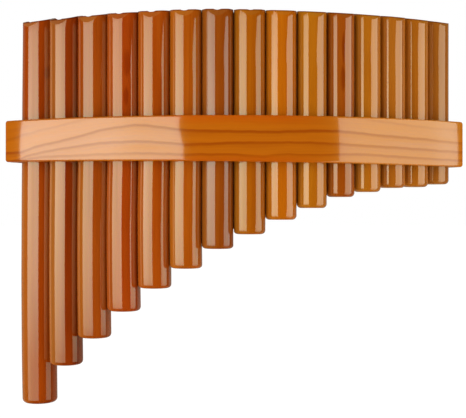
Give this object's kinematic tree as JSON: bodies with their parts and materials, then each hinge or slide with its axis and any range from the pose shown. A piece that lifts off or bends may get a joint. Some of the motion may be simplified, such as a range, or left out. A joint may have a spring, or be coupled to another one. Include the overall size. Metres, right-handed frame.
{
  "type": "pan flute",
  "caption": "Curved pan flute: stopped bamboo pipes of falling length, glued along an arc and held in a wooden belt.",
  "frame": {"origin": "middle of the foot of the bounding box: the foot of the longest pipe is at z = 0", "axes": "+Z from the closed feet to the mouths, +X along the row from the longest pipe to the shortest, the convex side faces -Y"},
  "size_m": [0.2704, 0.0662, 0.226],
  "materials": {
    "lacquered_bamboo_red_brown": "gloss lacquer over red-brown bamboo",
    "lacquered_bamboo_chestnut": "gloss lacquer over chestnut bamboo",
    "lacquered_bamboo_amber": "gloss lacquer over amber bamboo",
    "lacquered_ash": "gloss lacquer over strongly grained light wood",
    "cork": "bare cork",
    "tuning_wax": "pressed beeswax"
  },
  "bodies": {
    "root": {"back_band": "lacquered_ash", "cork_stopper_01": "cork", "cork_stopper_02": "cork", "cork_stopper_03": "cork", "cork_stopper_04": "cork", "cork_stopper_05": "cork", "cork_stopper_06": "cork", "cork_stopper_07": "cork", "cork_stopper_08": "cork", "cork_stopper_09": "cork", "cork_stopper_10": "cork", "cork_stopper_11": "cork", "cork_stopper_12": "cork", "cork_stopper_13": "cork", "cork_stopper_14": "cork", "cork_stopper_15": "cork", "end_block_left": "lacquered_ash", "end_block_right": "lacquered_ash", "front_band": "lacquered_ash", "pipe_01": "lacquered_bamboo_red_brown", "pipe_02": "lacquered_bamboo_red_brown", "pipe_03": "lacquered_bamboo_red_brown", "pipe_04": "lacquered_bamboo_red_brown", "pipe_05": "lacquered_bamboo_red_brown", "pipe_06": "lacquered_bamboo_chestnut", "pipe_07": "lacquered_bamboo_chestnut", "pipe_08": "lacquered_bamboo_amber", "pipe_09": "lacquered_bamboo_amber", "pipe_10": "lacquered_bamboo_amber", "pipe_11": "lacquered_bamboo_chestnut", "pipe_12": "lacquered_bamboo_chestnut", "pipe_13": "lacquered_bamboo_chestnut", "pipe_14": "lacquered_bamboo_chestnut", "pipe_15": "lacquered_bamboo_amber", "tuning_wax_01": "tuning_wax", "tuning_wax_02": "tuning_wax", "tuning_wax_03": "tuning_wax", "tuning_wax_04": "tuning_wax", "tuning_wax_05": "tuning_wax", "tuning_wax_06": "tuning_wax", "tuning_wax_07": "tuning_wax", "tuning_wax_08": "tuning_wax", "tuning_wax_09": "tuning_wax", "tuning_wax_10": "tuning_wax", "tuning_wax_11": "tuning_wax", "tuning_wax_12": "tuning_wax", "tuning_wax_13": "tuning_wax", "tuning_wax_14": "tuning_wax", "tuning_wax_15": "tuning_wax"}
  },
  "joints": []
}
